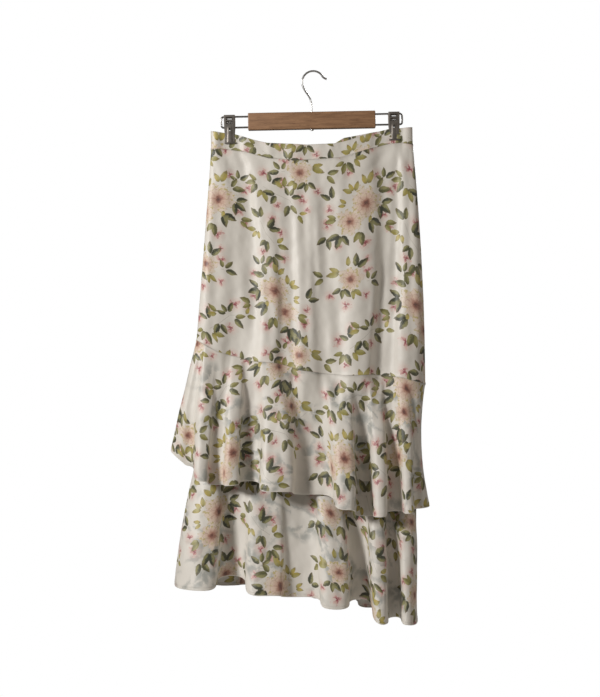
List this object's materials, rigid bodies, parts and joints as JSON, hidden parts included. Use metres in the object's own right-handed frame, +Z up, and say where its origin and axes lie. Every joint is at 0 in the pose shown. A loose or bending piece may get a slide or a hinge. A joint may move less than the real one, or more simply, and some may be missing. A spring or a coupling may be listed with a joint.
{
  "type": "skirt on a clip hanger",
  "caption": "Midi skirt with a narrow waistband and two slanted flounces, hanging flat by its waistband from a wooden bar hanger with clips.",
  "frame": {"origin": "inside top of the hanger's hook, where the rail carries it", "axes": "+Z up, +X to the right as the skirt faces the viewer, its front faces -Y"},
  "size_m": [0.465, 0.1604, 0.9934],
  "materials": {
    "skirt_cloth": "satin",
    "bar_wood": "satin",
    "hook_steel": "polished",
    "clip_steel": "satin"
  },
  "bodies": {
    "root": {"hanger_hook": "hook_steel", "hook_nut": "hook_steel", "hanger_bar": "bar_wood", "wire_loop_left": "clip_steel", "clip_left_saddle": "clip_steel", "clip_left_front_jaw": "clip_steel", "clip_left_back_jaw": "clip_steel", "wire_loop_right": "clip_steel", "clip_right_saddle": "clip_steel", "clip_right_front_jaw": "clip_steel", "clip_right_back_jaw": "clip_steel", "front_waistband": "skirt_cloth", "front_upper_panel": "skirt_cloth", "front_lower_panel": "skirt_cloth", "front_flounce_1": "skirt_cloth", "front_flounce_2": "skirt_cloth", "back_waistband": "skirt_cloth", "back_upper_panel": "skirt_cloth", "back_lower_panel": "skirt_cloth", "back_flounce_1": "skirt_cloth", "back_flounce_2": "skirt_cloth"}
  },
  "joints": []
}
